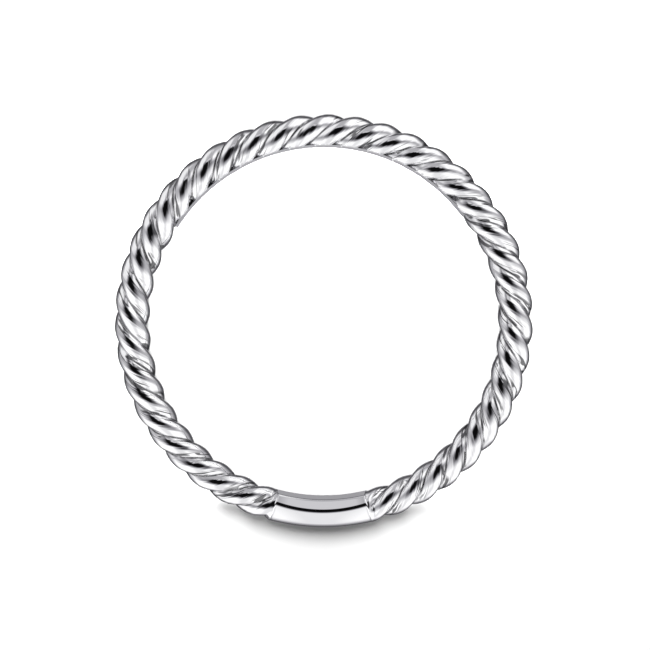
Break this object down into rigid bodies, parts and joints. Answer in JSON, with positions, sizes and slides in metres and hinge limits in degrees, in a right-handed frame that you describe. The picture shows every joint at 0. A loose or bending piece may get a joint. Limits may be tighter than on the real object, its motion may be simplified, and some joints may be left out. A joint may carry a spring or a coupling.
{
  "type": "rope twist ring",
  "caption": "Finger ring of three twisted round strands in polished white metal, with a plain sizing bar at the base and a smooth plate inside the top.",
  "frame": {"origin": "middle of the finger hole, on the surface that the ring lies on", "axes": "+Z along the finger axis, upwards; +Y from the sizing bar to the top of the ring; +X to the right as seen from above"},
  "size_m": [0.0204, 0.0204, 0.0017],
  "materials": {
    "white_gold": "cast white gold, bright rhodium polish"
  },
  "bodies": {
    "root": {"ring": "white_gold"}
  },
  "joints": []
}
